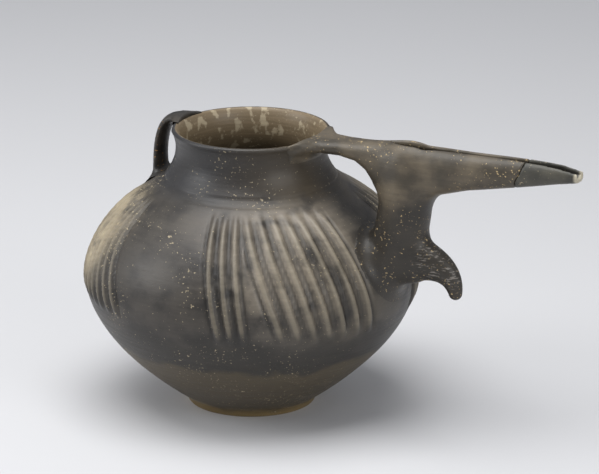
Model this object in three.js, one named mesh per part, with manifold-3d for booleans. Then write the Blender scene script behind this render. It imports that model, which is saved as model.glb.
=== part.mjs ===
// A hand-built grey ware pitcher with a ribbed shoulder, a strap handle and a bridged beak spout.
// Millimetres, +Z up, +X toward the spout's tip, origin at the centre of the base on the ground.
// The pot is symmetric about the XZ plane.

import * as THREE from 'three';
import { mergeVertices } from 'three/addons/utils/BufferGeometryUtils.js';
import Module from 'manifold-3d';

const wasm = await Module();
wasm.setup();

// Driving dimensions of the vessel
const FOOT_RADIUS = 43.6;
const FOOT_EDGE = 3.5;
const BELLY_RADIUS = 113;
const BELLY_HEIGHT = 87;
const LOWER_FULLNESS = 1.8;
const SHOULDER_FULLNESS = 2.1;
const GROOVE_RADIUS = 61;
const GROOVE_HEIGHT = 157;
const WAIST_RADIUS = 51.2;
const WAIST_HEIGHT = 179;
const LIP_RADIUS = 53.8;
const LIP_HEIGHT = 190.5;
const BOWL_JOINT_HEIGHT = 36;
const BODY_JOINT_HEIGHT = 66;
const BELLY_JOINT_HEIGHT = 105;
const LOWER_WALL = 5.5;
const SHOULDER_WALL = 5;
const NECK_WALL = 4;
const JOINT_GAP = 0.3;
const LATHE_SEGMENTS = 44;
const WALL_ROWS = 5;
const SHOULDER_ROWS = 8;

// Raised ribs: two fans on each spout-side flank and one on each handle-side flank.
// Azimuths are degrees from the spout, at the rib's top and at its foot.
const RIB_HEIGHT = 2;
const RIB_SUNK = 1.2;
const RIB_STATIONS = 5;
const RIB_FANS = [
  { count: 3, top: [79.8, 68.6], foot: [71.3, 63], from: 151, to: 74, widthTop: 4.2, widthFoot: 5 },
  { count: 7, top: [63.4, 22], foot: [49.2, 15.5], from: 151, to: 72, widthTop: 5, widthFoot: 6.2 },
  { count: 9, top: [129.6, 164], foot: [113.5, 155], from: 150, to: 80, widthTop: 3.4, widthFoot: 5.6 },
];

// Strap handle
const HANDLE_WIDTH = 16.5;
const HANDLE_THICKNESS = 6.5;
const HANDLE_PATH = new THREE.CubicBezierCurve3(
  new THREE.Vector3(-49, 0, 189.5),
  new THREE.Vector3(-66, 0, 199.5),
  new THREE.Vector3(-75, 0, 178),
  new THREE.Vector3(-70, 0, 142),
);

// Spout stem: a bent tube that leaves the shoulder and turns upright
const STEM_RADIUS = 18;
const STEM_ROOT_RADIUS = 23;
const STEM_TOP_RADIUS = 11;
const STEM_WALL = 5;
const STEM_TOP = 162;
const STEM_PATH = new THREE.CubicBezierCurve3(
  new THREE.Vector3(88, 0, 106),
  new THREE.Vector3(108, 0, 114),
  new THREE.Vector3(119.4, 0, 126),
  new THREE.Vector3(119.4, 0, 186),
);

// Hook under the stem
const HOOK_ROOT_RADIUS = 19;
const HOOK_HALF_WIDTH = 13;
const HOOK_TIP_RADIUS = 4.6;
const HOOK_PATH = new THREE.CubicBezierCurve3(
  new THREE.Vector3(122, 0, 117),
  new THREE.Vector3(144, 0, 119),
  new THREE.Vector3(157, 0, 114),
  new THREE.Vector3(159, 0, 98),
);

// Bridge and trough: sections along X with their underside, top, half width and half slot
const BRIDGE_END = 84;
const CRACK_X = 204;
const CRACK_LEAN = THREE.MathUtils.degToRad(22);
const TROUGH_WALL = 3.6;
const SECTIONS = [
  { x: 46, under: 185, top: 194.2, half: 22 },
  { x: 60, under: 183.8, top: 194.6, half: 15 },
  { x: 72, under: 183.4, top: 194.8, half: 12 },
  { x: 84, under: 181, top: 195.2, half: 11.8 },
  { x: 92, under: 175, top: 195.8, half: 12 },
  { x: 98.5, under: 164, top: 196.6, half: 12.6 },
  { x: 106, under: 159, top: 197.4, half: 13.2, slot: 1 },
  { x: 119, under: 157, top: 198, half: 13.6, slot: 4.8 },
  { x: 134, under: 158.5, top: 198, half: 13.2, slot: 4.4 },
  { x: 146, under: 166.2, top: 198, half: 12.6, slot: 3 },
  { x: 165, under: 172, top: 198, half: 11.6, slot: 1.8 },
  { x: 190, under: 177, top: 198.8, half: 10, slot: 2.3 },
  { x: 212, under: 181.6, top: 199.8, half: 8.6, slot: 3.4 },
  { x: 230, under: 185.6, top: 199.6, half: 7.4, slot: 4 },
  { x: 246, under: 188.6, top: 196.6, half: 5.6, slot: 3.2 },
];

// Building blocks

/** Turns a closed BufferGeometry into a solid, with its faces pointing out. */
function solidOf(geometry) {
  const bare = geometry.clone();
  bare.deleteAttribute('normal');
  bare.deleteAttribute('uv');
  const merged = mergeVertices(bare, 1e-4);
  const points = merged.attributes.position.array;
  const faces = [];
  const index = merged.index.array;
  for (let i = 0; i < index.length; i += 3) {
    const [a, b, c] = [index[i], index[i + 1], index[i + 2]];
    if (a !== b && b !== c && c !== a) faces.push(a, b, c);
  }
  if (signedVolume(points, faces) < 0) faces.reverse();
  return new wasm.Manifold(new wasm.Mesh({
    numProp: 3,
    vertProperties: Float32Array.from(points),
    triVerts: Uint32Array.from(faces),
  }));
}

/** Six times the volume inside the faces, negative when they point inwards. */
function signedVolume(points, faces) {
  const corner = (i) => new THREE.Vector3().fromArray(points, 3 * faces[i]);
  let sum = 0;
  for (let i = 0; i < faces.length; i += 3) {
    sum += corner(i).dot(corner(i + 1).cross(corner(i + 2)));
  }
  return sum;
}

function geometryOf(solid) {
  const mesh = solid.getMesh();
  const geometry = new THREE.BufferGeometry();
  geometry.setAttribute('position', new THREE.BufferAttribute(mesh.vertProperties, 3));
  geometry.setIndex(new THREE.BufferAttribute(mesh.triVerts, 1));
  geometry.computeVertexNormals();
  return geometry;
}

/** Revolves [radius, height] points about Z. */
function revolve(profile) {
  const points = profile.map(([r, z]) => new THREE.Vector2(r, z));
  return solidOf(new THREE.LatheGeometry(points, LATHE_SEGMENTS).rotateX(Math.PI / 2));
}

/** Skins rings of equal length one after another and closes both ends with fans. */
function loft(rings) {
  const size = rings[0].length;
  const centre = (ring) => ring.reduce((sum, p) => sum.add(p), new THREE.Vector3())
    .divideScalar(size);
  const points = [...rings.flat(), centre(rings[0]), centre(rings.at(-1))];
  const faces = [];
  for (let k = 0; k < rings.length - 1; k += 1) {
    for (let i = 0; i < size; i += 1) {
      const a = k * size + i;
      const b = k * size + (i + 1) % size;
      faces.push(a, b, a + size, b, b + size, a + size);
    }
  }
  const last = (rings.length - 1) * size;
  for (let i = 0; i < size; i += 1) {
    const next = (i + 1) % size;
    faces.push(points.length - 2, next, i, points.length - 1, last + i, last + next);
  }
  const geometry = new THREE.BufferGeometry().setFromPoints(points);
  geometry.setIndex(faces);
  return solidOf(geometry);
}

/** Carries a round or oval section along a path in the XZ plane. */
function sweep(path, stations, sides, radii) {
  const rings = [];
  for (let k = 0; k <= stations; k += 1) {
    const t = k / stations;
    const centre = path.getPoint(t);
    const along = path.getTangent(t);
    const normal = new THREE.Vector3(along.z, 0, -along.x);
    const [inPlane, across] = radii(t);
    rings.push(Array.from({ length: sides }, (_, i) => {
      const angle = 2 * Math.PI * (i + 0.5) / sides;
      return centre.clone()
        .addScaledVector(normal, inPlane * Math.cos(angle))
        .add(new THREE.Vector3(0, across * Math.sin(angle), 0));
    }));
  }
  return loft(rings);
}

function boxSolid(low, high) {
  const size = high.map((value, i) => value - low[i]);
  const box = new THREE.BoxGeometry(...size);
  return solidOf(box.translate(...low.map((value, i) => value + size[i] / 2)));
}

// The vessel's outer outline as a radius at each height
function outerRadius(z) {
  if (z <= BELLY_HEIGHT) {
    const rise = (z - FOOT_EDGE) / (BELLY_HEIGHT - FOOT_EDGE);
    return FOOT_RADIUS + (BELLY_RADIUS - FOOT_RADIUS) * (1 - (1 - rise) ** LOWER_FULLNESS);
  }
  if (z <= GROOVE_HEIGHT) {
    const rise = (z - BELLY_HEIGHT) / (GROOVE_HEIGHT - BELLY_HEIGHT);
    return BELLY_RADIUS - (BELLY_RADIUS - GROOVE_RADIUS) * rise ** SHOULDER_FULLNESS;
  }
  if (z <= WAIST_HEIGHT) {
    const drop = (WAIST_HEIGHT - z) / (WAIST_HEIGHT - GROOVE_HEIGHT);
    return WAIST_RADIUS + (GROOVE_RADIUS - WAIST_RADIUS) * drop ** 2;
  }
  const rise = (z - WAIST_HEIGHT) / (LIP_HEIGHT - WAIST_HEIGHT);
  return WAIST_RADIUS + (LIP_RADIUS - WAIST_RADIUS) * rise ** 2;
}

/** Outward normal of the outline as [radial, upward], read between two close heights. */
function outlineNormal(z, low, high) {
  const step = 0.05;
  const a = Math.max(low, z - step);
  const b = Math.min(high, z + step);
  const slope = (outerRadius(b) - outerRadius(a)) / (b - a);
  const length = Math.hypot(1, slope);
  return [1 / length, -slope / length];
}

function offsetPoint(z, depth, low, high) {
  const [radial, upward] = outlineNormal(z, low, high);
  return [outerRadius(z) - depth * radial, z - depth * upward];
}

/** A closed profile of the wall between two heights, cut square to the wall at both ends. */
function wallProfile(low, high, wall, rows, crown = []) {
  const half = (z) => JOINT_GAP / 2 * outlineNormal(z, low, high)[0];
  const from = low + half(low);
  const to = crown.length ? high : high - half(high);
  const heights = Array.from({ length: rows }, (_, i) => from + (to - from) * i / (rows - 1));
  const outer = heights.map((z) => offsetPoint(z, 0, low, high));
  const inner = heights.map((z) => offsetPoint(z, wall, low, high)).reverse();
  return [...outer, ...crown, ...inner, outer[0]];
}

/** Everything inside the outline, grown outwards, as the seat for what is luted on. */
function vesselCore(grow) {
  const rows = 3 * SHOULDER_ROWS;
  const climb = (LIP_HEIGHT - FOOT_EDGE) / (rows - 1);
  const heights = Array.from({ length: rows }, (_, i) => FOOT_EDGE + climb * i);
  const side = heights.map((z) => offsetPoint(z, -grow, FOOT_EDGE, LIP_HEIGHT));
  return revolve([[0, 0], [FOOT_RADIUS, 0], ...side, [LIP_RADIUS, LIP_HEIGHT + 2.5], [0, LIP_HEIGHT + 2.5]]);
}

// The ribs: a rounded strip laid along the wall from the neck down to the belly
function rib(fan, order, side) {
  const share = fan.count > 1 ? order / (fan.count - 1) : 0;
  const topAngle = THREE.MathUtils.lerp(...fan.top, share);
  const footAngle = THREE.MathUtils.lerp(...fan.foot, share);
  const onWall = (t) => {
    const z = THREE.MathUtils.lerp(fan.from, fan.to, t);
    const angle = side * THREE.MathUtils.degToRad(THREE.MathUtils.lerp(topAngle, footAngle, t));
    const [radial, upward] = outlineNormal(z, FOOT_EDGE, GROOVE_HEIGHT);
    const r = outerRadius(z);
    return {
      point: new THREE.Vector3(r * Math.cos(angle), r * Math.sin(angle), z),
      normal: new THREE.Vector3(radial * Math.cos(angle), radial * Math.sin(angle), upward),
    };
  };
  const rings = [];
  for (let k = 0; k < RIB_STATIONS; k += 1) {
    const t = k / (RIB_STATIONS - 1);
    const { point, normal } = onWall(t);
    const step = 0.01;
    const along = onWall(Math.min(1, t + step)).point.sub(onWall(Math.max(0, t - step)).point).normalize();
    const across = new THREE.Vector3().crossVectors(normal, along);
    const fade = Math.sin(Math.PI * Math.min(1, 0.12 + 1.6 * Math.min(t, 1 - t)) / 2);
    const half = THREE.MathUtils.lerp(fan.widthTop, fan.widthFoot, t) / 2 * (0.5 + 0.5 * fade);
    const height = RIB_HEIGHT * fade;
    rings.push([[-1, -RIB_SUNK], [1, -RIB_SUNK], [0.8, height * 0.6], [0, height], [-0.8, height * 0.6]]
      .map(([u, v]) => point.clone().addScaledVector(across, u * half).addScaledVector(normal, v)));
  }
  return loft(rings);
}

// Bridge, trough and tip share one outer skin and one channel
const superRing = (x, middle, rise, half, sides, square) => Array.from({ length: sides }, (_, i) => {
  const angle = 2 * Math.PI * i / sides;
  const bend = (value) => Math.sign(value) * Math.abs(value) ** (2 / square);
  return new THREE.Vector3(x, half * bend(Math.cos(angle)), middle + rise * bend(Math.sin(angle)));
});

function beakOuter() {
  return loft(SECTIONS.map(({ x, under, top, half }) => (
    superRing(x, (top + under) / 2, (top - under) / 2, half, 16, 2.4))));
}

function beakChannel() {
  const open = SECTIONS.filter(({ slot }) => slot);
  const extended = [...open, { ...open.at(-1), x: open.at(-1).x + 8 }];
  const bore = loft(extended.map(({ x, under, top, half }) => {
    const floor = under + TROUGH_WALL;
    const roof = top - TROUGH_WALL;
    return superRing(x, (floor + roof) / 2, (roof - floor) / 2, half - TROUGH_WALL, 12, 2.2);
  }));
  const cut = loft(extended.map(({ x, under, top, slot }) => {
    const middle = (top + under) / 2;
    return [[-slot, middle], [slot, middle], [slot, top + 6], [-slot, top + 6]]
      .map(([y, z]) => new THREE.Vector3(x, y, z));
  }));
  return bore.add(cut);
}

// The stem narrows from its root, runs even, and draws in again where the trough takes over
function stemRadius(t) {
  const rooted = THREE.MathUtils.lerp(STEM_ROOT_RADIUS, STEM_RADIUS, Math.min(1, t * 2.2));
  return THREE.MathUtils.lerp(rooted, STEM_TOP_RADIUS, Math.max(0, (t - 0.84) / 0.16) ** 1.5);
}

const stemOuter = (grow) => sweep(STEM_PATH, 14, 16, (t) => [stemRadius(t) + grow, stemRadius(t) + grow]);

// Solids of the pitcher
const reach = 400;
const core = vesselCore(JOINT_GAP);
const stemSkin = stemOuter(0);
const stemBore = stemOuter(-STEM_WALL);
const beak = stemSkin.add(beakOuter());
const below = (z) => boxSolid([-reach, -reach, -reach], [reach, reach, z]);
const above = (z) => boxSolid([-reach, -reach, z], [reach, reach, reach]);
const behind = (x) => boxSolid([-reach, -reach, -reach], [x, reach, reach]);
const ahead = (x) => boxSolid([x, -reach, -reach], [reach, reach, reach]);

/** Everything on the tip's side of the crack, which leans forward as it rises. */
function pastCrack(shift) {
  const box = new THREE.BoxGeometry(reach, reach, reach).translate(reach / 2, 0, 0);
  return solidOf(box.rotateY(CRACK_LEAN).translate(CRACK_X + shift, 0, SECTIONS.at(-1).under));
}

function baseDisc() {
  const [innerRadius, innerHeight] = offsetPoint(FOOT_EDGE, LOWER_WALL, FOOT_EDGE, BELLY_HEIGHT);
  return revolve([[0, 0], [FOOT_RADIUS - 0.6, 0], [FOOT_RADIUS, 0.8], [FOOT_RADIUS, FOOT_EDGE],
    [innerRadius, innerHeight], [0, innerHeight]]);
}

/** The plain wall from the base to the body joint, which is parted into two rings. */
function lowerWall() {
  return revolve(wallProfile(FOOT_EDGE + JOINT_GAP / 2, BODY_JOINT_HEIGHT, LOWER_WALL, WALL_ROWS));
}

const bowl = () => lowerWall().intersect(below(BOWL_JOINT_HEIGHT - JOINT_GAP / 2));
const lowerBody = () => lowerWall().intersect(above(BOWL_JOINT_HEIGHT + JOINT_GAP / 2));

/** The ribbed wall from the body joint to the neck, which is parted into two rings. */
function ribbedWall() {
  let wall = revolve(wallProfile(BODY_JOINT_HEIGHT, GROOVE_HEIGHT, SHOULDER_WALL, SHOULDER_ROWS));
  for (const fan of RIB_FANS) {
    for (let order = 0; order < fan.count; order += 1) {
      for (const side of [-1, 1]) wall = wall.add(rib(fan, order, side));
    }
  }
  return wall.subtract(stemBore);
}

const ribbed = ribbedWall();
const belly = () => ribbed.intersect(below(BELLY_JOINT_HEIGHT - JOINT_GAP / 2));
const shoulder = () => ribbed.intersect(above(BELLY_JOINT_HEIGHT + JOINT_GAP / 2));

function neck() {
  const lipTop = [LIP_RADIUS - NECK_WALL / 2, LIP_HEIGHT + 1.5];
  return revolve(wallProfile(GROOVE_HEIGHT, LIP_HEIGHT, NECK_WALL, WALL_ROWS, [lipTop]));
}

function handleStrap() {
  const rings = Array.from({ length: 15 }, (_, k) => {
    const t = k / 14;
    const centre = HANDLE_PATH.getPoint(t);
    const along = HANDLE_PATH.getTangent(t);
    const normal = new THREE.Vector3(along.z, 0, -along.x);
    const flare = 1 + 0.35 * Math.abs(2 * t - 1) ** 4;
    return Array.from({ length: 10 }, (_, i) => {
      const angle = 2 * Math.PI * (i + 0.5) / 10;
      return centre.clone()
        .addScaledVector(normal, HANDLE_THICKNESS / 2 * Math.cos(angle))
        .add(new THREE.Vector3(0, flare * HANDLE_WIDTH / 2 * Math.sin(angle), 0));
    });
  });
  return loft(rings).subtract(core).subtract(ribCrowns());
}

/** The ribs as they stand, grown a little, for what is set down among them. */
function ribCrowns() {
  return vesselCore(RIB_HEIGHT + JOINT_GAP).intersect(below(GROOVE_HEIGHT - 2));
}

function spoutStem() {
  return stemSkin.subtract(stemBore).subtract(core).intersect(below(STEM_TOP - JOINT_GAP / 2));
}

function spoutHook() {
  const taper = (t) => THREE.MathUtils.lerp(HOOK_ROOT_RADIUS, HOOK_TIP_RADIUS, t ** 0.72);
  const radius = (t) => taper(t) * (t === 1 ? 0.7 : 1);
  const finger = sweep(HOOK_PATH, 12, 12, (t) => [radius(t), Math.min(radius(t), HOOK_HALF_WIDTH)]);
  return finger.subtract(stemOuter(JOINT_GAP)).subtract(core);
}

function spoutTrough() {
  return beak.subtract(stemBore).subtract(beakChannel())
    .intersect(above(STEM_TOP + JOINT_GAP / 2)).intersect(ahead(BRIDGE_END + JOINT_GAP / 2))
    .subtract(pastCrack(-JOINT_GAP / 2));
}

function spoutTip() {
  return beak.subtract(beakChannel()).intersect(pastCrack(JOINT_GAP / 2));
}

function spoutBridge() {
  return beakOuter().intersect(behind(BRIDGE_END - JOINT_GAP / 2)).subtract(core);
}

const PIECES = [
  { name: 'base_disc', make: baseDisc, color: 0x4f4638 },
  { name: 'bowl', make: bowl, color: 0x51483a },
  { name: 'lower_body', make: lowerBody, color: 0x463f36 },
  { name: 'belly', make: belly, color: 0x423e38 },
  { name: 'shoulder', make: shoulder, color: 0x4a4640 },
  { name: 'neck', make: neck, color: 0x45403a },
  { name: 'handle_strap', make: handleStrap, color: 0x2e2d2d },
  { name: 'spout_stem', make: spoutStem, color: 0x413e39 },
  { name: 'spout_hook', make: spoutHook, color: 0x3d3a36 },
  { name: 'spout_trough', make: spoutTrough, color: 0x4c463d },
  { name: 'spout_tip', make: spoutTip, color: 0x484a44 },
  { name: 'spout_bridge', make: spoutBridge, color: 0x4b453d },
];

const pitcher = new THREE.Group();
for (const { name, make, color } of PIECES) {
  const material = new THREE.MeshStandardMaterial({ color, roughness: 0.45, metalness: 0 });
  const mesh = new THREE.Mesh(geometryOf(make()), material);
  mesh.name = name;
  pitcher.add(mesh);
}

export default pitcher;
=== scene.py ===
"""Dresses the spouted pitcher: burnished grey ware with ribbed shoulder, strap handle and beak spout.

Everything is in metres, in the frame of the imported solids: +X towards the spout's tip, +Z up.
"""
import logging
import math
from dataclasses import dataclass, field
from enum import Enum

import bpy
import numpy as np
from mathutils import Matrix, Vector


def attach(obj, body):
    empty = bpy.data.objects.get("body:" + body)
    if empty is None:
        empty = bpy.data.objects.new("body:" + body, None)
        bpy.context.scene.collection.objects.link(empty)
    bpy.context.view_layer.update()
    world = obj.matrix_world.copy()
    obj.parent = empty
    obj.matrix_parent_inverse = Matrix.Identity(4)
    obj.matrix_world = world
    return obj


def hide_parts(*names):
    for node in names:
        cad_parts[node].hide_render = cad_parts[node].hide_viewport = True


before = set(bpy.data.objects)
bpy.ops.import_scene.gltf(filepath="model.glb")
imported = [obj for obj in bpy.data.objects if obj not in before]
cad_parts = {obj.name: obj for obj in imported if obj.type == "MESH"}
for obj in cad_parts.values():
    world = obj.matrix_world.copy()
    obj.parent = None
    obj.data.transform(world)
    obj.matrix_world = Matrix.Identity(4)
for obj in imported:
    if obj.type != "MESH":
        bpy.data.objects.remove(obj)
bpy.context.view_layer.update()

LOG = logging.getLogger("pitcher")
MM = 0.001
PHOTO_WIDTH = 599
SENSOR = 36.0
LUTE_GAP = 0.25 * MM
LUTE_DEPTH = 1.6 * MM


class Face(Enum):
    """Which side of the clay wall a surface row lies on."""

    OUTER = 0.0
    INNER = 1.0


def linear(code: str) -> tuple[float, float, float, float]:
    """Turns a display colour such as "6b6458" into linear light.

    Args:
        code: six hexadecimal digits.

    Returns:
        Red, green, blue and an alpha of one.
    """
    values = [int(code[i:i + 2], 16) / 255 for i in (0, 2, 4)]
    return tuple(v / 12.92 if v <= 0.04045 else ((v + 0.055) / 1.055) ** 2.4 for v in values) + (1.0,)


def smooth_step(value: np.ndarray, low: float, high: float) -> np.ndarray:
    """Rises from 0 at low to 1 at high along a cubic with level ends.

    Args:
        value: where to read the curve.
        low: where it leaves 0.
        high: where it reaches 1.

    Returns:
        The height of the curve at each value.
    """
    t = np.clip((value - low) / (high - low), 0.0, 1.0)
    return t * t * (3 - 2 * t)


def melt(a: np.ndarray, b: np.ndarray, radius: float) -> np.ndarray:
    """Joins two distance fields with a fillet: the smaller one, less a parabola where they are close.

    Args:
        a: one field.
        b: the other.
        radius: the fillet's size.

    Returns:
        The joined field.
    """
    near = np.maximum(radius - np.abs(a - b), 0.0) / radius
    return np.minimum(a, b) - near * near * radius / 4


def carve(a: np.ndarray, b: np.ndarray, radius: float) -> np.ndarray:
    """Cuts field b out of field a and rounds the edge: the larger of a and minus b, plus a parabola."""
    return -melt(-a, b, radius)


def mesh_object(name: str, points: np.ndarray, faces: np.ndarray | list) -> bpy.types.Object:
    """Makes a smooth-shaded object at the origin from points and faces.

    Args:
        name: the piece's name.
        points: one row of three metres per point.
        faces: rows of point numbers, of three or four.

    Returns:
        The linked object.
    """
    mesh = bpy.data.meshes.new(name)
    mesh.from_pydata(points.tolist(), [], faces if isinstance(faces, list) else faces.tolist())
    mesh.validate()
    mesh.shade_smooth()
    piece = bpy.data.objects.new(name, mesh)
    bpy.context.scene.collection.objects.link(piece)
    return piece


def paint(piece: bpy.types.Object, name: str, values: np.ndarray) -> None:
    """Stores one number per point as a named attribute.

    Args:
        piece: the object.
        name: the attribute's name.
        values: one number for each of its points.
    """
    layer = piece.data.attributes.new(name, "FLOAT", "POINT")
    layer.data.foreach_set("value", np.asarray(values, dtype=np.float32).ravel())


def surface_net(values: np.ndarray, low: np.ndarray, step: float) -> tuple[np.ndarray, np.ndarray]:
    """Skins the zero level of a field sampled on a grid.

    Each cell that the surface crosses gets one point, the mean of the crossings on its edges, and
    each grid edge that the surface crosses gets a quad of the four cells around it.

    Args:
        values: the field, negative inside, on a grid of three axes.
        low: the grid's first corner in metres.
        step: the grid's spacing in metres.

    Returns:
        The points and the quads.
    """
    size = np.array(values.shape) - 1
    total = np.zeros((*size, 3))
    count = np.zeros(size)
    for axis in range(3):
        for first in (0, 1):
            for second in (0, 1):
                offset = np.zeros(3, dtype=int)
                offset[(axis + 1) % 3], offset[(axis + 2) % 3] = first, second
                far = offset.copy()
                far[axis] = 1
                a = values[tuple(slice(o, o + n) for o, n in zip(offset, size))]
                b = values[tuple(slice(o, o + n) for o, n in zip(far, size))]
                crossed = (a < 0) != (b < 0)
                share = np.where(crossed, a / np.where(crossed, a - b, 1.0), 0.0)
                for k in range(3):
                    total[..., k] += crossed * (share if k == axis else offset[k])
                count += crossed
    active = count > 0
    number = np.full(size, -1)
    number[active] = np.arange(active.sum())
    cells = np.argwhere(active)
    points = low + step * (cells + total[active] / count[active][:, None])
    quads = []
    for axis in range(3):
        b_axis, c_axis = (axis + 1) % 3, (axis + 2) % 3
        inner = [slice(None)] * 3
        inner[b_axis] = inner[c_axis] = slice(1, -1)
        near, far = list(inner), list(inner)
        near[axis], far[axis] = slice(0, -1), slice(1, None)
        before, after = values[tuple(near)], values[tuple(far)]
        edges = np.argwhere((before < 0) != (after < 0))
        corners = []
        for b_step, c_step in ((0, 0), (1, 0), (1, 1), (0, 1)):
            cell = edges.copy()
            cell[:, b_axis] += b_step
            cell[:, c_axis] += c_step
            corners.append(number[tuple(cell.T)])
        quad = np.stack(corners, axis=1)
        outside_first = before[tuple(edges.T)] >= 0
        quad[outside_first] = quad[outside_first][:, ::-1]
        quads.append(quad)
    return points, np.concatenate(quads)


def bezier(points: tuple, t: np.ndarray) -> np.ndarray:
    """A cubic curve in the XZ plane, steered by four points.

    Args:
        points: start, two handles and end as X and Z in millimetres.
        t: how far along, from 0 to 1.

    Returns:
        A point in metres for each t.
    """
    p = [np.array([x, 0.0, z]) * MM for x, z in points]
    weights = ((1 - t) ** 3, 3 * t * (1 - t) ** 2, 3 * t * t * (1 - t), t ** 3)
    return sum(w[:, None] * q for w, q in zip(weights, p))


@dataclass(frozen=True)
class Outline:
    """The vessel's outer outline, in metres."""

    foot_radius: float = 43.6 * MM
    foot_edge: float = 3.5 * MM
    belly_radius: float = 112.9 * MM
    belly_height: float = 87 * MM
    lower_fullness: float = 1.8
    shoulder_fullness: float = 2.1
    groove_radius: float = 61 * MM
    groove_height: float = 157 * MM
    waist_radius: float = 51.2 * MM
    waist_height: float = 179 * MM
    lip_radius: float = 53.8 * MM
    lip_height: float = 190.4 * MM
    lip_top: float = 192.0 * MM

    def radius(self, z: np.ndarray) -> np.ndarray:
        """Radius at each height: two power curves meet at the belly, two parabolas at the neck's waist.

        Args:
            z: heights.

        Returns:
            The radius at each height.
        """
        low = np.clip((z - self.foot_edge) / (self.belly_height - self.foot_edge), 0, 1)
        swell = 1 - (1 - low) ** self.lower_fullness
        bowl = self.foot_radius + (self.belly_radius - self.foot_radius) * swell
        high = np.clip((z - self.belly_height) / (self.groove_height - self.belly_height), 0, 1)
        dome = self.belly_radius - (self.belly_radius - self.groove_radius) * high ** self.shoulder_fullness
        drop = np.clip((self.waist_height - z) / (self.waist_height - self.groove_height), 0, 1)
        rise = np.clip((z - self.waist_height) / (self.lip_height - self.waist_height), 0, 1)
        neck = (self.waist_radius + (self.groove_radius - self.waist_radius) * drop ** 2
                + (self.lip_radius - self.waist_radius) * rise ** 2)
        return np.where(z < self.belly_height, bowl, np.where(z < self.groove_height, dome, neck))

    def slope(self, z: np.ndarray) -> np.ndarray:
        """Change of radius with height, from two close heights.

        Args:
            z: heights.

        Returns:
            The slope at each height.
        """
        step = 0.2 * MM
        return (self.radius(z + step) - self.radius(z - step)) / (2 * step)

    def distance(self, x: np.ndarray, y: np.ndarray, z: np.ndarray) -> np.ndarray:
        """Signed distance to the outline: the radial gap times the cosine of the wall's lean.

        Args:
            x: X of each point.
            y: Y of each point.
            z: Z of each point.

        Returns:
            The distance, negative inside.
        """
        lean = 1 / np.sqrt(1 + self.slope(z) ** 2)
        return np.maximum((np.hypot(x, y) - self.radius(z)) * lean, z - self.lip_top)


OUTLINE = Outline()


def lute(limb: np.ndarray, body: np.ndarray, inner_radius: float, from_axis: np.ndarray,
         fillet: float, reach: float) -> np.ndarray:
    """Melts a limb into the body's skin and keeps only the limb, its fillet and a thin root.

    The result is the melted field, cut to what lies above the root's depth in the wall, within the
    reach of the limb, and farther from the axis than the inner radius.

    Args:
        limb: distance to the limb.
        body: distance to the vessel's outline.
        inner_radius: how near to the axis the clay may come.
        from_axis: each grid point's distance from the axis.
        fillet: radius of the fillet.
        reach: how far from the limb the fillet may run.

    Returns:
        The luted limb's field.
    """
    luted = melt(limb, body + LUTE_GAP, fillet)
    luted = np.maximum(luted, np.maximum(-(body + LUTE_DEPTH), limb - reach))
    return np.maximum(luted, inner_radius - from_axis)


@dataclass(frozen=True)
class RibFan:
    """A fan of raised ribs on both flanks: azimuths from the spout in degrees, heights in metres."""

    count: int
    top: tuple[float, float]
    foot: tuple[float, float]
    start: float
    end: float
    width_top: float
    width_foot: float


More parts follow.
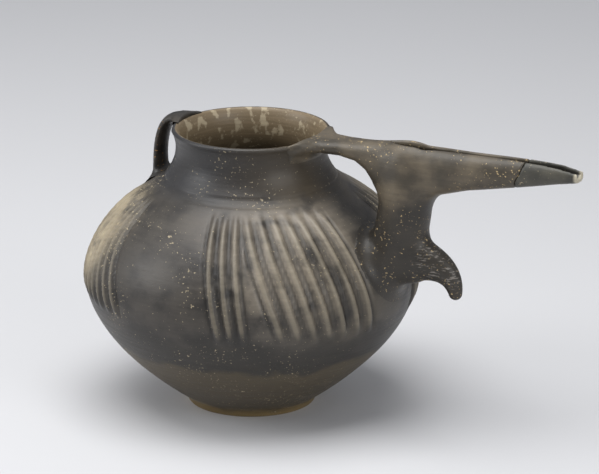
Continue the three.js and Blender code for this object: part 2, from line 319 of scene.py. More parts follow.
class Sheet:
    """A node tree with short calls for the nodes that the finishes share."""

    def __init__(self, tree: bpy.types.NodeTree) -> None:
        """Keeps the tree that the calls add to."""
        self.tree = tree

    def node(self, kind: str, **settings: object) -> bpy.types.Node:
        """Adds a node and sets its properties.

        Args:
            kind: the node's type.
            settings: property names and values.

        Returns:
            The node.
        """
        made = self.tree.nodes.new(kind)
        for key, value in settings.items():
            setattr(made, key, value)
        return made

    def feed(self, socket: bpy.types.NodeSocket, value: object) -> None:
        """Links an output to a socket, or sets the socket to a value.

        Args:
            socket: the input.
            value: an output, or a plain value.
        """
        if isinstance(value, bpy.types.NodeSocket):
            self.tree.links.new(value, socket)
        else:
            socket.default_value = value

    def math(self, kind: str, a: object, b: object = 0.0, clamp: bool = False) -> bpy.types.NodeSocket:
        """One arithmetic step.

        Args:
            kind: the operation.
            a: its first input.
            b: its second input.
            clamp: keeps the result from 0 to 1.

        Returns:
            The result.
        """
        made = self.node("ShaderNodeMath", operation=kind, use_clamp=clamp)
        self.feed(made.inputs[0], a)
        self.feed(made.inputs[1], b)
        return made.outputs[0]

    def mix(self, share: object, a: object, b: object) -> bpy.types.NodeSocket:
        """Blends two colours by a share from 0 to 1.

        Args:
            share: how much of b shows.
            a: the first colour.
            b: the second colour.

        Returns:
            The blend.
        """
        made = self.node("ShaderNodeMix", data_type="RGBA")
        for index, value in ((0, share), (6, a), (7, b)):
            self.feed(made.inputs[index], value)
        return made.outputs[2]

    def lay(self, colour: object, over: str, mask: object, share: float) -> bpy.types.NodeSocket:
        """Lays a display colour over another where a mask is 1, at a share of its strength."""
        return self.mix(self.math("MULTIPLY", mask, share), colour, linear(over))

    def rise(self, value: object, low: float, high: float) -> bpy.types.NodeSocket:
        """Goes smoothly from 0 at low to 1 at high.

        Args:
            value: what is read.
            low: where the result is 0.
            high: where it is 1; it may be the smaller.

        Returns:
            The result.
        """
        made = self.node("ShaderNodeMapRange", interpolation_type="SMOOTHSTEP")
        for index, number in enumerate((value, low, high, 0.0, 1.0)):
            self.feed(made.inputs[index], number)
        return made.outputs[0]

    def noise(self, place: object, stretch: tuple, detail: float = 4.0) -> bpy.types.NodeSocket:
        """Noise on coordinates multiplied by a stretch along each axis.

        Args:
            place: the coordinates.
            stretch: waves to the metre along each axis.
            detail: how many finer layers are added.

        Returns:
            The noise, round 0.5.
        """
        scaled = self.node("ShaderNodeVectorMath", operation="MULTIPLY")
        self.feed(scaled.inputs[0], place)
        scaled.inputs[1].default_value = stretch
        made = self.node("ShaderNodeTexNoise")
        self.feed(made.inputs["Vector"], scaled.outputs[0])
        made.inputs["Scale"].default_value = 1.0
        made.inputs["Detail"].default_value = detail
        return made.outputs[0]

    def near(self, place: object, centre: tuple, radius: float, fade: float) -> bpy.types.NodeSocket:
        """Goes from 1 within a radius of a point to 0 beyond the fade.

        Args:
            place: the coordinates.
            centre: the point, in millimetres.
            radius: where the mask leaves 1, in millimetres.
            fade: where it reaches 0, in millimetres.

        Returns:
            The mask.
        """
        apart = self.node("ShaderNodeVectorMath", operation="DISTANCE")
        self.feed(apart.inputs[0], place)
        apart.inputs[1].default_value = tuple(c * MM for c in centre)
        return self.math("SUBTRACT", 1.0, self.rise(apart.outputs["Value"], radius * MM, fade * MM))

    def along(self, place: object, direction: tuple) -> bpy.types.NodeSocket:
        """Distance of a point along a direction.

        Args:
            place: the coordinates.
            direction: of length one.

        Returns:
            The distance.
        """
        made = self.node("ShaderNodeVectorMath", operation="DOT_PRODUCT")
        self.feed(made.inputs[0], place)
        made.inputs[1].default_value = direction
        return made.outputs["Value"]


def group_tree(name: str, inputs: dict, outputs: tuple) -> tuple:
    """Makes an empty node group.

    Args:
        name: the group's name.
        inputs: socket name to socket type.
        outputs: names of the float outputs.

    Returns:
        The tree, its sheet, the input node and the output node.
    """
    tree = bpy.data.node_groups.new(name, "ShaderNodeTree")
    for key, kind in inputs.items():
        tree.interface.new_socket(name=key, in_out="INPUT", socket_type=kind)
    for key in outputs:
        tree.interface.new_socket(name=key, in_out="OUTPUT", socket_type="NodeSocketFloat")
    return tree, Sheet(tree), tree.nodes.new("NodeGroupInput"), tree.nodes.new("NodeGroupOutput")


def clay_grain_group() -> bpy.types.NodeTree:
    """Fine clay grain, small pits and level burnishing strokes.

    Returns:
        A group with Height for a bump, Mottle for colour and Strokes for gloss.
    """
    tree, sheet, start, end = group_tree("clay_grain", {"Place": "NodeSocketVector"},
                                         ("Height", "Mottle", "Strokes"))
    place = start.outputs["Place"]
    grain = sheet.noise(place, (1500, 1500, 1500), 3)
    lumps = sheet.noise(place, (170, 170, 230), 4)
    strokes = sheet.noise(place, (26, 26, 520), 3)
    pits = sheet.rise(sheet.noise(place, (620, 620, 620), 2), 0.66, 0.74)
    height = sheet.math("MULTIPLY", grain, 0.25)
    height = sheet.math("ADD", height, sheet.math("MULTIPLY", lumps, 0.6))
    height = sheet.math("ADD", height, sheet.math("MULTIPLY", strokes, 0.5))
    height = sheet.math("SUBTRACT", height, sheet.math("MULTIPLY", pits, 0.5))
    sheet.feed(end.inputs["Height"], height)
    sheet.feed(end.inputs["Mottle"], sheet.noise(place, (48, 48, 60), 7))
    sheet.feed(end.inputs["Strokes"], strokes)
    return tree


def worn_specks_group() -> bpy.types.NodeTree:
    """Small chips and scuffs through the burnish, thick in some patches and absent in others.

    Returns:
        A group whose Mask is 1 on a speck.
    """
    tree, sheet, start, end = group_tree(
        "worn_specks", {"Place": "NodeSocketVector", "Cover": "NodeSocketFloat"}, ("Mask",))
    place = start.outputs["Place"]
    dots = sheet.noise(place, (560, 560, 640), 5)
    patches = sheet.noise(place, (26, 26, 26), 2)
    level = sheet.math("ADD", dots, sheet.math("MULTIPLY", sheet.math("SUBTRACT", patches, 0.5), 0.35))
    level = sheet.math("ADD", level, start.outputs["Cover"])
    sheet.feed(end.inputs["Mask"], sheet.rise(level, 0.66, 0.72))
    return tree


@dataclass(frozen=True)
class WareFinish:
    """Burnished ware: a dark and a light clay colour, its worn colour, gloss and wear."""

    name: str
    dark: str
    light: str
    worn: str = "a3967c"
    roughness: float = 0.42
    wear: float = 0.0
    bump: float = 0.35

    def material(self) -> bpy.types.Material:
        """Makes the material, with each zone's colours laid over the clay.

        Returns:
            The finished material.
        """
        made = bpy.data.materials.new(self.name)
        made.use_nodes = True
        sheet = Sheet(made.node_tree)
        shader = made.node_tree.nodes["Principled BSDF"]
        place = sheet.node("ShaderNodeTexCoord").outputs["Object"]
        grain = sheet.node("ShaderNodeGroup", node_tree=bpy.data.node_groups["clay_grain"])
        specks = sheet.node("ShaderNodeGroup", node_tree=bpy.data.node_groups["worn_specks"])
        sheet.feed(grain.inputs["Place"], place)
        sheet.feed(specks.inputs["Place"], place)
        sheet.feed(specks.inputs["Cover"], self.wear)
        cloud = sheet.rise(grain.outputs["Mottle"], 0.34, 0.66)
        colour = sheet.mix(cloud, linear(self.dark), linear(self.light))
        colour = self.zones(sheet, place, colour, grain.outputs["Mottle"])
        shade = sheet.rise(grain.outputs["Strokes"], 0.3, 0.7)
        darker = sheet.mix(0.16, colour, (0.01, 0.01, 0.01, 1.0))
        colour = sheet.mix(shade, darker, colour)
        colour = sheet.mix(specks.outputs["Mask"], colour, linear(self.worn))
        sheet.feed(shader.inputs["Base Color"], colour)
        rough = sheet.math("MULTIPLY_ADD", grain.outputs["Strokes"], 0.22)
        rough.node.inputs[2].default_value = self.roughness - 0.1
        rough = sheet.math("ADD", rough, sheet.math("MULTIPLY", specks.outputs["Mask"], 0.25), True)
        sheet.feed(shader.inputs["Roughness"], rough)
        shader.inputs["Specular IOR Level"].default_value = 0.45
        bump = sheet.node("ShaderNodeBump")
        bump.inputs["Strength"].default_value = self.bump
        bump.inputs["Distance"].default_value = 0.6 * MM
        sheet.feed(bump.inputs["Height"], grain.outputs["Height"])
        sheet.feed(shader.inputs["Normal"], bump.outputs["Normal"])
        return made

    def zones(self, sheet: Sheet, place: object, colour: object, mottle: object) -> object:
        """Leaves the clay as it is; a finish with fire clouds lays them here."""
        return colour


@dataclass(frozen=True)
class FireCloud:
    """A patch of another colour round a point, in millimetres, with a share of how strongly it shows."""

    centre: tuple[float, float, float]
    radius: float
    fade: float
    colour: str
    share: float


@dataclass(frozen=True)
class Tide:
    """A colour that sets in at one height and is full at a lower one, at a share of its strength."""

    start: float
    full: float
    colour: str
    share: float


@dataclass(frozen=True)
class VesselFinish(WareFinish):
    """The vessel's wall: fire clouds, the olive lower body, the neck's two tones, painted shade in the rib
    valleys, a painted highlight on the rib crests, and the inside, with painted shade deeper down.
    """

    clouds: tuple[FireCloud, ...] = (
        FireCloud((72, -66, 132), 24, 72, "93897a", 0.85),
        FireCloud((92, -48, 96), 12, 50, "6a6152", 0.5),
        FireCloud((20, -82, 138), 12, 46, "5f5850", 0.5),
        FireCloud((-84, -50, 122), 18, 52, "b0a287", 0.9),
        FireCloud((-104, -34, 72), 16, 48, "1c1b1a", 0.85),
        FireCloud((-30, -104, 108), 22, 60, "46423d", 0.6),
        FireCloud((60, 80, 120), 30, 80, "7c7466", 0.6),
        FireCloud((-60, 86, 110), 30, 80, "3a3734", 0.6),
    )
    tides: tuple[Tide, ...] = (
        Tide(84 * MM, 66 * MM, "2b2823", 0.8),
        Tide(52 * MM, 45 * MM, "544a38", 0.85),
        Tide(12 * MM, 1 * MM, "8a7650", 0.9),
    )
    neck_left: str = "2d2d2f"
    neck_right: str = "443b2d"
    inside: str = "7d6d55"
    flake: str = "bcae92"
    # Painted shade: the inside darkens towards this colour deeper below the lip.
    inside_depth_shade: str = "3b342a"
    # Painted shade: near black that the rib valleys are darkened towards, as shade in the grooves between the
    # ribs.
    valley: str = "171512"
    # Painted highlight: pale tan that the rib crests are lightened towards, where the rib tops catch the
    # light.
    crest_highlight: str = "a0957f"
    view_right: tuple[float, float, float] = (0.875, 0.485, 0.0)

    def zones(self, sheet: Sheet, place: object, colour: object, mottle: object) -> object:
        """Lays the fire clouds, painted shade in the rib valleys, a painted highlight on the rib crests, the
        lower body, the neck and the inside, with painted shade deeper inside, over the clay.

        Args:
            sheet: the material's nodes.
            place: object coordinates.
            colour: the clay's colour so far.
            mottle: slow noise that breaks up each edge.

        Returns:
            The colour with the zones.
        """
        wobble = sheet.math("MULTIPLY", sheet.math("SUBTRACT", mottle, 0.5), 0.022)
        height = sheet.math("ADD", sheet.along(place, (0, 0, 1)), wobble)
        for cloud in self.clouds:
            mask = sheet.near(place, cloud.centre, cloud.radius, cloud.fade)
            mask = sheet.math("MULTIPLY", mask, sheet.rise(mottle, 0.26, 0.58))
            colour = sheet.lay(colour, cloud.colour, mask, cloud.share)
        crest = sheet.node("ShaderNodeAttribute", attribute_name="crest").outputs["Fac"]
        # Painted shade in the rib valleys and a painted highlight on the rib crests, both read from the
        # relief.
        valley = sheet.mix(0.72, colour, linear(self.valley))
        crest_highlight = sheet.mix(0.34, colour, linear(self.crest_highlight))
        colour = sheet.mix(sheet.rise(crest, 0.2, 1.0), colour, crest_highlight)
        colour = sheet.mix(sheet.math("MULTIPLY", sheet.rise(crest, -0.1, -1.0), 0.8), colour, valley)
        for tide in self.tides:
            colour = sheet.lay(colour, tide.colour, sheet.rise(height, tide.start, tide.full), tide.share)
        sideways = sheet.rise(sheet.along(place, self.view_right), -0.035, 0.03)
        neck = sheet.mix(sideways, linear(self.neck_left), linear(self.neck_right))
        colour = sheet.mix(sheet.math("MULTIPLY", sheet.rise(height, 0.150, 0.160), 0.8), colour, neck)
        inner = sheet.node("ShaderNodeAttribute", attribute_name="inner").outputs["Fac"]
        flaked = sheet.rise(sheet.noise(place, (150, 150, 110), 6), 0.54, 0.62)
        within = sheet.mix(sheet.math("MULTIPLY", flaked, 0.7), linear(self.inside), linear(self.flake))
        # Painted shade deeper inside: darker from 176 mm down to 150 mm is wrong; darker from 176 mm down to
        # 130 mm.
        within = sheet.mix(sheet.rise(height, 0.176, 0.13), within, linear(self.inside_depth_shade))
        return sheet.mix(inner, colour, within)


@dataclass(frozen=True)
class SpoutFinish(WareFinish):
    """The spout: a stem darkened by painted shade under a grey-brown trough, with worn specks, a painted
    highlight on the hook, pale at the chipped end.
    """

    # Painted shade: the stem and hook below the trough are darkened towards this colour.
    stem: str = "2b2824"
    chip: str = "b9b19c"
    # Painted highlight: a pale grey laid in streaks on the hook.
    hook_highlight: str = "9a938a"
    shadowed: str = "1f1c18"

    def zones(self, sheet: Sheet, place: object, colour: object, mottle: object) -> object:
        """Lays painted shade on the stem below the trough and in the channel's inside, lays a painted
        highlight in streaks on the hook and pales the very tip.

        Args:
            sheet: the material's nodes.
            place: object coordinates.
            colour: the clay's colour so far.
            mottle: slow noise that breaks up each edge.

        Returns:
            The colour with the zones.
        """
        wobble = sheet.math("MULTIPLY", sheet.math("SUBTRACT", mottle, 0.5), 0.03)
        height = sheet.math("ADD", sheet.along(place, (0, 0, 1)), wobble)
        # Painted shade under the trough: darker from 172 mm down to 150 mm.
        colour = sheet.lay(colour, self.stem, sheet.rise(height, 172 * MM, 150 * MM), 0.85)
        # Painted highlight on the hook, broken into thin streaks of noise.
        highlight_streaks = sheet.rise(sheet.noise(place, (220, 220, 900), 3), 0.56, 0.66)
        on_hook = sheet.near(place, (150, -6, 122), 12, 26)
        hook_highlight_mask = sheet.math("MULTIPLY", sheet.math("MULTIPLY", on_hook, highlight_streaks), 0.6)
        colour = sheet.mix(hook_highlight_mask, colour, linear(self.hook_highlight))
        depth = sheet.node("ShaderNodeAttribute", attribute_name="inner").outputs["Fac"]
        colour = sheet.lay(colour, self.shadowed, depth, 0.85)
        end = sheet.rise(sheet.along(place, (1, 0, 0)), 242.5 * MM, 245.2 * MM)
        return sheet.mix(end, colour, linear(self.chip))


@dataclass
class VesselWall:
    """The wall from base to lip, outside and inside, with its ribs and neck lines."""

    columns: int = 512
    wall: float = 5.2 * MM
    neck_wall: float = 4.0 * MM
    rib_height: float = 1.95 * MM
    valley_depth: float = 1.3 * MM
    undulation: float = 0.5 * MM
    line_depth: float = 0.9 * MM
    line_width: float = 0.7 * MM
    line_waver: float = 0.4 * MM
    line_heights: tuple[float, ...] = (155.6 * MM, 158.6 * MM)
    fans: tuple[RibFan, ...] = (
        RibFan(3, (79.8, 68.6), (71.3, 63.0), 151 * MM, 74 * MM, 4.4 * MM, 5.2 * MM),
        RibFan(7, (63.4, 22.0), (49.2, 15.5), 151 * MM, 72 * MM, 5.2 * MM, 6.4 * MM),
        RibFan(9, (129.6, 164.0), (113.5, 155.0), 150 * MM, 80 * MM, 3.6 * MM, 5.8 * MM),
    )
    finish: VesselFinish = field(default_factory=lambda: VesselFinish("vessel_ware", "2f2c29", "48433c"))

    def relief(self, angle: np.ndarray, z: np.ndarray) -> np.ndarray:
        """Rib relief from -1 in a valley to 1 on a crest.

        A rib's middle runs evenly in azimuth from its top to its foot. Across it the relief is a
        raised cosine, with a shallow valley of a rib's width on either side, and along it the
        relief fades at both ends.

        Args:
            angle: azimuths from the spout, in radians.
            z: heights.

        Returns:
            The relief at each pair.
        """
        crest = np.zeros(np.broadcast(angle, z).shape)
        valley = np.zeros_like(crest)
        radius = OUTLINE.radius(z)
        for fan in self.fans:
            run = (fan.start - z) / (fan.start - fan.end)
            ends = np.sin(np.pi / 2 * np.clip(0.05 + 5.0 * np.minimum(run, 1 - run), 0, 1))
            ends = np.where((run > 0) & (run < 1), np.clip(ends, 0, 1), 0)
            half = (fan.width_top + (fan.width_foot - fan.width_top) * np.clip(run, 0, 1)) / 2
            for order in range(fan.count):
                share = order / (fan.count - 1)
                top = fan.top[0] + (fan.top[1] - fan.top[0]) * share
                foot = fan.foot[0] + (fan.foot[1] - fan.foot[0]) * share
                middle = np.radians(top + (foot - top) * run)
                across = np.abs(np.abs(angle) - middle) * radius / half
                bump = np.cos(np.pi / 2 * np.clip(across, 0, 1)) ** 0.9 * ends
                dip = np.sin(np.pi * np.clip((across - 0.8) / 1.4, 0, 1)) * ends
                crest = np.maximum(crest, bump)
                valley = np.maximum(valley, dip)
        return np.where(crest > 0.05, crest, -valley)

    def rows(self) -> tuple[np.ndarray, np.ndarray, np.ndarray]:
        """The wall's profile as radius, height and side, from the foot up and down the inside.

        Returns:
            Radius, height and side of each row.
        """
        bowl_rows = np.linspace(3.5, 64, 20)
        ribbed_rows = np.linspace(65.2, 161, 86)
        neck_rows = np.linspace(162.5, 190.4, 20)
        outer_z = np.concatenate([bowl_rows, ribbed_rows, neck_rows]) * MM
        outer_r = OUTLINE.radius(outer_z)
        turn = np.linspace(0.12, 0.88, 7) * np.pi
        lip_half = self.neck_wall / 2
        lip_r = OUTLINE.lip_radius - lip_half + lip_half * np.cos(turn)
        lip_z = OUTLINE.lip_height + 1.55 * MM * np.sin(turn)
        inner_z = np.concatenate([np.linspace(190, 156, 14), np.linspace(152, 16, 24)]) * MM
        wall = np.where(inner_z > OUTLINE.groove_height, self.neck_wall, self.wall)
        slope = OUTLINE.slope(inner_z)
        inner_r = OUTLINE.radius(inner_z) - wall * np.sqrt(1 + slope ** 2)
        foot_r = np.array([0.62, 1.0]) * (OUTLINE.foot_radius - 0.5 * MM)
        foot_z = np.array([0.0, 0.0])
        bevel_r, bevel_z = np.array([OUTLINE.foot_radius]), np.array([0.7 * MM])
        floor_r, floor_z = np.array([36.0, 18.0]) * MM, np.array([8.6, 8.1]) * MM
        radius = np.concatenate([foot_r, bevel_r, outer_r, lip_r, inner_r, floor_r])
        height = np.concatenate([foot_z, bevel_z, outer_z, lip_z, inner_z, floor_z])
        inside = np.full(len(radius), Face.OUTER.value)
        lip_crown = len(foot_r) + len(bevel_r) + len(outer_z) + (len(turn) + 1) // 2
        inside[lip_crown:] = Face.INNER.value
        return radius, height, inside

    def build(self) -> bpy.types.Object:
        """Revolves the profile, raises the ribs and cuts the neck's two lines.

        Returns:
            The wall, closed at the base and at the inner floor.
        """
        radius, height, inside = self.rows()
        angle = np.linspace(-np.pi, np.pi, self.columns, endpoint=False)
        r = np.repeat(radius[:, None], self.columns, axis=1)
        z = np.repeat(height[:, None], self.columns, axis=1)
        a = np.repeat(angle[None, :], len(radius), axis=0)
        outer = (inside[:, None] < 0.5) & (z > OUTLINE.foot_edge)
        relief = np.where(outer, self.relief(a, z), 0.0)
        # The wall swells and sinks slowly: half the mean of three waves, less a half, so never outwards
        slow = (np.sin(3 * a + 40 * z) + np.sin(5 * a - 65 * z + 1) + np.sin(150 * z + 2 * a)) / 6 - 0.5
        waver = self.line_waver * np.sin(2 * a)
        lines = sum(np.exp(-((z - level - waver) / self.line_width) ** 2) for level in self.line_heights)
        lift = np.where(relief > 0, relief * self.rib_height, relief * self.valley_depth)
        lift = lift + slow * self.undulation * smooth_step(z, 0.004, 0.03)
        lift = np.where(outer, lift - lines * self.line_depth, 0.0)
        lean = 1 / np.sqrt(1 + OUTLINE.slope(z) ** 2)
        shift = np.where(z < OUTLINE.lip_height, lift, 0.0)
        x = (r + shift * lean) * np.cos(a)
        y = (r + shift * lean) * np.sin(a)
        up = z - shift * OUTLINE.slope(z) * lean
        points = np.stack([x, y, up], axis=-1).reshape(-1, 3)
        count = self.columns
        row, column = np.meshgrid(np.arange(len(radius) - 1), np.arange(count), indexing="ij")
        start = row * count + column
        side = row * count + (column + 1) % count
        quads = np.stack([start, side, side + count, start + count], axis=-1).reshape(-1, 4)
        base, floor = len(points), len(points) + 1
        points = np.vstack([points, [0, 0, 0], [0, 0, 8 * MM]])
        ring = np.arange(count)
        last = (len(radius) - 1) * count
        following = (ring + 1) % count
        under = np.stack([np.full(count, base), following, ring], axis=1)
        above = np.stack([np.full(count, floor), last + ring, last + following], axis=1)
        piece = mesh_object("vessel_wall", points, quads.tolist() + under.tolist() + above.tolist())
        paint(piece, "inner", np.append(np.repeat(inside, count), [0, 1]))
        paint(piece, "crest", np.append(relief.ravel(), [0, 0]))
        return piece

    def dress(self, piece: bpy.types.Object) -> None:
        """Gives the wall its finish and its place in the frame.

        Args:
            piece: the wall.
        """
        piece.data.materials.append(self.finish.material())
        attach(piece, "root")
        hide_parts("base_disc", "bowl", "lower_body", "belly", "shoulder", "neck")


@dataclass(frozen=True)
class Grid:
    """A block of evenly spaced points, in metres."""

    low: tuple[float, float, float]
    high: tuple[float, float, float]
    step: float

    def axes(self) -> tuple[np.ndarray, np.ndarray, np.ndarray]:
        """The block's coordinates, as three arrays of the block's own shape."""
        lines = [np.arange(a, b, self.step) for a, b in zip(self.low, self.high)]
        return tuple(np.meshgrid(*lines, indexing="ij"))


def tube_distance(axes: tuple, path: np.ndarray, radii: np.ndarray, flatten: np.ndarray) -> np.ndarray:
    """Distance to a tube of changing radius: the least, over the path, of distance less radius.

    Args:
        axes: the grid's coordinates.
        path: points along the tube.
        radii: its radius at each.
        flatten: how much narrower it is across than in its plane, at each.

    Returns:
        The distance at each grid point.
    """
    x, y, z = axes
    nearest = np.full(x.shape, 1.0)
    for (px, _, pz), radius, flat in zip(path, radii, flatten):
        nearest = np.minimum(nearest, np.sqrt((x - px) ** 2 + (y * flat) ** 2 + (z - pz) ** 2) - radius)
    return nearest


@dataclass
class BeakSpout:
    """Stem, hook, bridge and trough, luted into one and cut at the old crack near the tip."""

    step: float = 0.95 * MM
    stem_path: tuple = ((88, 106), (108, 114), (119.4, 126), (119.4, 186))
    stem_radii: tuple[float, float, float] = (22.6 * MM, 18 * MM, 11 * MM)
    stem_wall: float = 5 * MM
    hook_path: tuple = ((123, 119), (141, 119), (154, 113.5), (156, 99))
    hook_radii: tuple[float, float] = (17.5 * MM, 4.7 * MM)
    wall: float = 3.4 * MM
    fillet: float = 9 * MM
    edge_round: float = 1.6 * MM
    lip_reach: float = 49.6 * MM
    chamber_start: float = 106 * MM
    slot_start: float = 107 * MM
    crack_x: float = 204 * MM
    crack_lean: float = math.radians(22)
    crack_foot: float = 188.6 * MM
    crack_gap: float = 0.35 * MM
    sections: tuple = (
        (50.5, 185.2, 194.0, 21, 0), (60, 184, 194.4, 15, 0), (72, 183.6, 194.6, 12, 0),
        (84, 181.2, 195.0, 11.6, 0), (92, 175.5, 195.6, 11.8, 0), (98.5, 166, 196.4, 12.4, 0),
        (106, 161, 197.2, 13, 0.6), (119, 159, 197.8, 13.4, 4.9), (134, 160, 197.8, 13, 4.4),
        (146, 166.6, 197.8, 12.4, 3.0), (165, 172.2, 197.8, 11.4, 1.7), (190, 177.2, 198.6, 9.8, 2.2),
        (212, 181.8, 199.2, 8.4, 3.4), (230, 185.8, 199.2, 7.2, 4.0), (245.6, 188.8, 196.4, 5.5, 3.2),
    )
    finish: SpoutFinish = field(default_factory=lambda: SpoutFinish(
        "spout_ware", "443e34", "665c4c", worn="b09a72", wear=0.02))
    tip_finish: SpoutFinish = field(default_factory=lambda: SpoutFinish(
        "tip_ware", "3b3a34", "545147", wear=-0.02))

    def profile(self, x: np.ndarray, column: int) -> np.ndarray:
        """One of the section sizes along X, running straight from station to station."""
        stations = np.array(self.sections) * MM
        return np.interp(x, stations[:, 0], stations[:, column])

    def beak(self, axes: tuple, shrink: float) -> np.ndarray:
        """Distance to a rounded oblong section that changes along X.

        The section is the curve where the sum of the two offsets, each over its half size and to
        the power 2.4, is one. The value is divided by its slope to give a distance.

        Args:
            axes: the grid's coordinates.
            shrink: how far inside the outer skin.

        Returns:
            The distance at each grid point.
        """
        x, y, z = axes
        under, top = self.profile(x, 1) + shrink, self.profile(x, 2) - shrink
        half = self.profile(x, 3) - shrink
        middle, rise = (under + top) / 2, (top - under) / 2
        power = 2.4
        level = (np.abs(y / half) ** power + np.abs((z - middle) / rise) ** power + 1e-9) ** (1 / power)
        slope = np.sqrt(sum(g ** 2 for g in np.gradient(level, self.step)))
        return (level - 1) / np.maximum(slope, 0.35 / half.max())

    def fields(self) -> tuple[np.ndarray, np.ndarray, tuple]:
        """Works out the spout's clay and its channel on the grid.

        Returns:
            The clay's field, the channel's field and the grid's coordinates.
        """
        grid = Grid((44 * MM, -30 * MM, 84 * MM), (252 * MM, 30.5 * MM, 206 * MM), self.step)
        axes = grid.axes()
        x, y, z = axes
        t = np.linspace(0, 1, 60)
        # The stem narrows from its root over 45 per cent of its length, and again over its last 16
        root, even, top = self.stem_radii
        radii = root + (even - root) * np.clip(t * 2.2, 0, 1)
        radii = radii + (top - radii) * np.clip((t - 0.84) / 0.16, 0, 1) ** 1.5
        path = bezier(self.stem_path, t)
        level = np.ones_like(t)
        stem = tube_distance(axes, path, radii, level)
        bore = tube_distance(axes, path, radii - self.stem_wall, level)
        # The hook thins fast at first, and is narrower across than in its own plane
        hook_radii = self.hook_radii[0] + (self.hook_radii[1] - self.hook_radii[0]) * t ** 0.72
        hook = tube_distance(axes, bezier(self.hook_path, t), hook_radii, 1.35 - 0.3 * t)
        start, end = self.sections[0][0] * MM, self.sections[-1][0] * MM
        beak = np.maximum(self.beak(axes, 0.0), np.maximum(start - x, x - end))
        clay = melt(melt(stem, hook, self.fillet), beak, self.fillet)
        body = OUTLINE.distance(x, y, z)
        luted = lute(clay, body, self.lip_reach, np.hypot(x, y), self.fillet, self.fillet * 0.9)
        luted = np.maximum(luted, z - self.profile(x, 2))
        chamber = np.maximum(self.beak(axes, self.wall), self.chamber_start - x)
        chamber = np.where(x > self.chamber_start - 2 * MM, chamber, 10 * MM)
        middle = (self.profile(x, 1) + self.profile(x, 2)) / 2
        slot = np.maximum(np.abs(y) - self.profile(x, 4), np.maximum(middle - z, self.slot_start - x))
        channel = np.minimum(np.minimum(bore, chamber), slot)
        return carve(luted, channel, self.edge_round), channel, (grid, axes)

    def crack(self, axes: tuple) -> np.ndarray:
        """Signed distance past the crack: a leaning plane with a small waver.

        Args:
            axes: the grid's coordinates.

        Returns:
            The distance, positive on the tip's side.
        """
        x, y, z = axes
        waver = 0.6 * MM * np.sin(z / (2.6 * MM)) + 0.5 * MM * np.sin(y / (2.1 * MM) + 1)
        lean = (z - self.crack_foot) * math.tan(self.crack_lean)
        return (x - self.crack_x - lean + waver) * math.cos(self.crack_lean)

    def piece(self, name: str, values: np.ndarray, channel: np.ndarray, grid: Grid) -> bpy.types.Object:
        """Skins a field and marks the points that line the channel.

        Args:
            name: the piece's name.
            values: the clay's field.
            channel: the channel's field.
            grid: where both are sampled.

        Returns:
            The piece.
        """
        points, quads = surface_net(values, np.array(grid.low), grid.step)
        made = mesh_object(name, points, quads)
        cell = np.clip(((points - np.array(grid.low)) / grid.step + 0.5).astype(int), 0,
                       np.array(values.shape) - 1)
        lining = 1 - smooth_step(channel[tuple(cell.T)], 0.9 * MM, 2.2 * MM)
        deep = smooth_step(self.profile(points[:, 0], 2) - points[:, 2], 1.5 * MM, 4 * MM)
        paint(made, "inner", lining * deep)
        return made

    def build(self) -> tuple[bpy.types.Object, bpy.types.Object]:
        """Skins the spout and its broken-off tip.

        Returns:
            The spout and the tip.
        """
        clay, channel, (grid, axes) = self.fields()
        past = self.crack(axes)
        half = self.crack_gap / 2
        spout = self.piece("beak_spout", np.maximum(clay, past + half), channel, grid)
        tip = self.piece("beak_tip", np.maximum(clay, half - past), channel, grid)
        return spout, tip

    def dress(self, spout: bpy.types.Object, tip: bpy.types.Object) -> None:
        """Gives both their finish and their places in the frame.

        Args:
            spout: the spout up to the crack.
            tip: the end beyond it.
        """
        spout.data.materials.append(self.finish.material())
        tip.data.materials.append(self.tip_finish.material())
        for piece in (spout, tip):
            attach(piece, "root")
        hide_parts("spout_stem", "spout_hook", "spout_trough", "spout_bridge")
        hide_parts("spout_tip")


@dataclass
class StrapHandle:
    """The strap from the lip to the shoulder, opposite the spout."""

    step: float = 0.75 * MM
    path: tuple = ((-49, 189.5), (-66, 199), (-74.6, 178), (-70, 142))
    half_width: float = 8.2 * MM
    half_thickness: float = 3.25 * MM
    fillet: float = 6 * MM
    lip_reach: float = 50.5 * MM
    finish: WareFinish = field(default_factory=lambda: WareFinish(
        "handle_ware", "2a2826", "453f37", worn="a07a4c", roughness=0.4, wear=0.0))

    def build(self) -> bpy.types.Object:
        """Skins the strap, melted into the lip and the shoulder.

        The strap is a tube of its thickness, with the stretch across it scaled to the strap's width.

        Returns:
            The handle.
        """
        grid = Grid((-84 * MM, -16 * MM, 134 * MM), (-44 * MM, 16.5 * MM, 200 * MM), self.step)
        axes = grid.axes()
        x, y, z = axes
        t = np.linspace(0, 1, 70)
        flare = 1 + 0.35 * np.abs(2 * t - 1) ** 4
        flatten = self.half_thickness / (self.half_width * flare)
        strap = tube_distance(axes, bezier(self.path, t), np.full_like(t, self.half_thickness), flatten)
        body = OUTLINE.distance(x, y, z)
        luted = lute(strap, body, self.lip_reach, np.hypot(x, y), self.fillet, self.fillet * 0.8)
        return mesh_object("strap_handle", *surface_net(luted, np.array(grid.low), grid.step))

    def dress(self, piece: bpy.types.Object) -> None:
        """Gives the handle its finish and its place in the frame.

        Args:
            piece: the handle.
        """
        piece.data.materials.append(self.finish.material())
        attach(piece, "root")
        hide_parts("handle_strap")


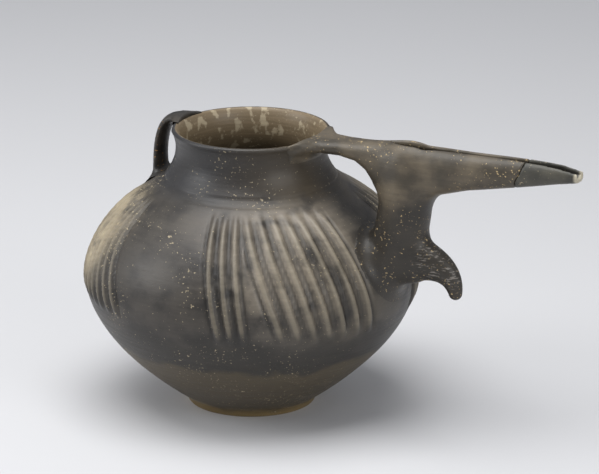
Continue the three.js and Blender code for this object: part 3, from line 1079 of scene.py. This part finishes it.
@dataclass
class Studio:
    """Pale sweep, soft lamps and the camera."""

    distance: float = 3.0
    azimuth: float = math.radians(29)
    elevation: float = math.radians(17.5)
    focal_pixels: float = 4409
    aim_right: float = 32.7 * MM
    aim_height: float = 114.4 * MM
    depth: float = 8.0
    width: float = 16.0
    rise: float = 3.0
    bend: float = 1.2

    def sweep(self) -> bpy.types.Object:
        """Makes the floor and backdrop as one sheet: level, a quarter circle, then upright.

        Returns:
            The sheet.
        """
        panels = 8
        across = np.linspace(-self.width / 2, self.width / 2, panels + 1)
        turn = np.linspace(0, np.pi / 2, 16)
        run = np.concatenate([[-self.depth], self.depth - self.bend + self.bend * np.sin(turn), [self.depth]])
        lift = np.concatenate([[0.0], self.bend * (1 - np.cos(turn)), [self.rise]])
        u, v = np.meshgrid(across, np.arange(len(run)), indexing="ij")
        c, s = math.cos(self.azimuth), math.sin(self.azimuth)
        back = run[v]
        points = np.stack([u * c - back * s, u * s + back * c, lift[v]], axis=-1).reshape(-1, 3)
        rows = len(run)
        i, j = np.meshgrid(np.arange(panels), np.arange(rows - 1), indexing="ij")
        first = i * rows + j
        quads = np.stack([first, first + rows, first + rows + 1, first + 1], axis=-1).reshape(-1, 4)
        sheet_object = mesh_object("studio_sweep", points, quads)
        material = bpy.data.materials.new("studio_paper")
        material.use_nodes = True
        shader = material.node_tree.nodes["Principled BSDF"]
        shader.inputs["Base Color"].default_value = (0.62, 0.62, 0.63, 1)
        shader.inputs["Roughness"].default_value = 0.8
        sheet_object.data.materials.append(material)
        return sheet_object

    def lamp(self, name: str, place: tuple, size: float, watts: float) -> None:
        """Adds a square soft lamp that faces the pot's middle.

        Args:
            name: the lamp's name.
            place: where it stands.
            size: length of a side.
            watts: its power.
        """
        data = bpy.data.lights.new(name, "AREA")
        data.energy, data.size = watts, size
        made = bpy.data.objects.new(name, data)
        made.location = place
        towards = Vector((0.03, 0, 0.1)) - Vector(place)
        made.rotation_euler = towards.to_track_quat("-Z", "Y").to_euler()
        bpy.context.scene.collection.objects.link(made)

    def light(self) -> None:
        """Lights the pot from above and both sides, with an even world."""
        self.lamp("overhead_softbox", (-0.1, -0.2, 1.5), 1.3, 23)
        self.lamp("left_softbox", (-1.3, -1.0, 0.9), 0.9, 12)
        self.lamp("right_softbox", (1.5, -0.5, 0.7), 0.8, 7)
        world = bpy.data.worlds.new("studio_air")
        world.use_nodes = True
        world.node_tree.nodes["Background"].inputs[0].default_value = (0.9, 0.93, 1.0, 1)
        world.node_tree.nodes["Background"].inputs[1].default_value = 0.35
        bpy.context.scene.world = world

    def camera(self) -> None:
        """Places the camera at the photograph's angle and framing."""
        a, e = self.azimuth, self.elevation
        back = Vector((math.sin(a) * math.cos(e), -math.cos(a) * math.cos(e), math.sin(e)))
        aim = Vector((math.cos(a), math.sin(a), 0)) * self.aim_right + Vector((0, 0, self.aim_height))
        data = bpy.data.cameras.new("photo_camera")
        data.sensor_width = SENSOR
        data.lens = self.focal_pixels / PHOTO_WIDTH * SENSOR
        data.clip_end = 30
        made = bpy.data.objects.new("photo_camera", data)
        made.matrix_world = Matrix.Translation(aim + back * self.distance) @ (
            (-back).to_track_quat("-Z", "Y").to_matrix().to_4x4())
        bpy.context.scene.collection.objects.link(made)
        bpy.context.scene.camera = made


def main() -> None:
    """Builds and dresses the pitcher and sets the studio."""
    logging.basicConfig(level=logging.INFO, format="%(name)s: %(message)s")
    bpy.context.scene.view_settings.view_transform = "Standard"
    clay_grain_group()
    worn_specks_group()
    studio = Studio()
    studio.camera()
    studio.sweep()
    studio.light()
    wall = VesselWall()
    wall_piece = wall.build()
    wall.dress(wall_piece)
    spout = BeakSpout()
    spout_piece, tip_piece = spout.build()
    spout.dress(spout_piece, tip_piece)
    handle = StrapHandle()
    handle_piece = handle.build()
    handle.dress(handle_piece)
    for piece in (wall_piece, spout_piece, tip_piece, handle_piece):
        LOG.info("%s: %d faces", piece.name, len(piece.data.polygons))
    bpy.context.view_layer.update()


if __name__ == "__main__":
    main()
